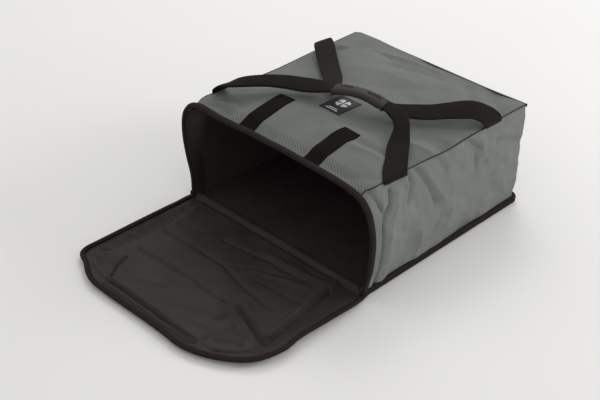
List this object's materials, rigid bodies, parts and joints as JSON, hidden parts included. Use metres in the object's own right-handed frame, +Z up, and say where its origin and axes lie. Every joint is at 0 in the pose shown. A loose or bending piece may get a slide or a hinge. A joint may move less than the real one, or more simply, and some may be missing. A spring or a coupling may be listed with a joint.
{
  "type": "insulated food carrier",
  "caption": "Front-opening insulated carrier for flat boxes, with a hinged, folding padded flap, crossed webbing straps and a rubber grip.",
  "frame": {"origin": "middle of the carrier's base, on the floor", "axes": "+X to the carrier's right, +Y to its back, +Z up; the opening and the flap are at low Y"},
  "size_m": [0.3686, 0.6343, 0.2187],
  "materials": {
    "shell_fabric": "woven polyester, matt, with a visible weave",
    "lining_nylon": "coated nylon, slightly glossy",
    "foam": "closed-cell insulating foam",
    "binding_tape": "ribbed grosgrain tape",
    "loop_tape": "napped loop tape",
    "hook_tape": "moulded hook tape",
    "webbing": "woven polypropylene webbing",
    "grip_rubber": "satin moulded rubber",
    "label_cloth": "woven label",
    "label_thread": "white thread",
    "thread": "sewing thread"
  },
  "bodies": {
    "bag": {"back_foam": "foam", "back_lining": "lining_nylon", "back_shell": "shell_fabric", "base_binding": "binding_tape", "base_foam": "foam", "base_lining": "lining_nylon", "base_shell": "shell_fabric", "corner_tape_end": "binding_tape", "label_mark": "label_thread", "label_patch": "label_cloth", "left_side_foam": "foam", "left_side_lining": "lining_nylon", "left_side_shell": "shell_fabric", "loop_strip_left": "loop_tape", "loop_strip_right": "loop_tape", "opening_binding": "binding_tape", "right_side_foam": "foam", "right_side_lining": "lining_nylon", "right_side_shell": "shell_fabric", "strap_bar_tacks": "thread", "strap_front_left": "webbing", "strap_front_right": "webbing", "strap_rear_left": "webbing", "strap_rear_right": "webbing", "top_foam": "foam", "top_lining": "lining_nylon", "top_shell": "shell_fabric"},
    "flap_front": {"flap_binding_left": "binding_tape", "flap_binding_right": "binding_tape", "flap_foam": "foam", "flap_lining": "lining_nylon", "flap_shell": "shell_fabric"},
    "flap_tip": {"tip_binding": "binding_tape", "tip_foam": "foam", "tip_hook_tape": "hook_tape", "tip_lining": "lining_nylon", "tip_shell": "shell_fabric"},
    "grip": {"grip_sleeve": "grip_rubber", "grip_strap_front": "webbing", "grip_strap_rear": "webbing"}
  },
  "joints": [
    {"name": "flap_hinge", "type": "hinge", "parent": "bag", "child": "flap_front", "pos_m": [0, -0.186, 0.0102], "axis": [-1, 0, 0], "range_deg": [0, 90]},
    {"name": "tip_hinge", "type": "hinge", "parent": "flap_front", "child": "flap_tip", "pos_m": [0, -0.358, 0.0102], "axis": [-1, 0, 0], "range_deg": [0, 78]},
    {"name": "grip_lift", "type": "slide", "parent": "bag", "child": "grip", "axis": [0, 0, 1], "range_m": [0, 0.07], "deforming": ["strap_front_left", "strap_front_right", "strap_rear_left", "strap_rear_right"]}
  ]
}
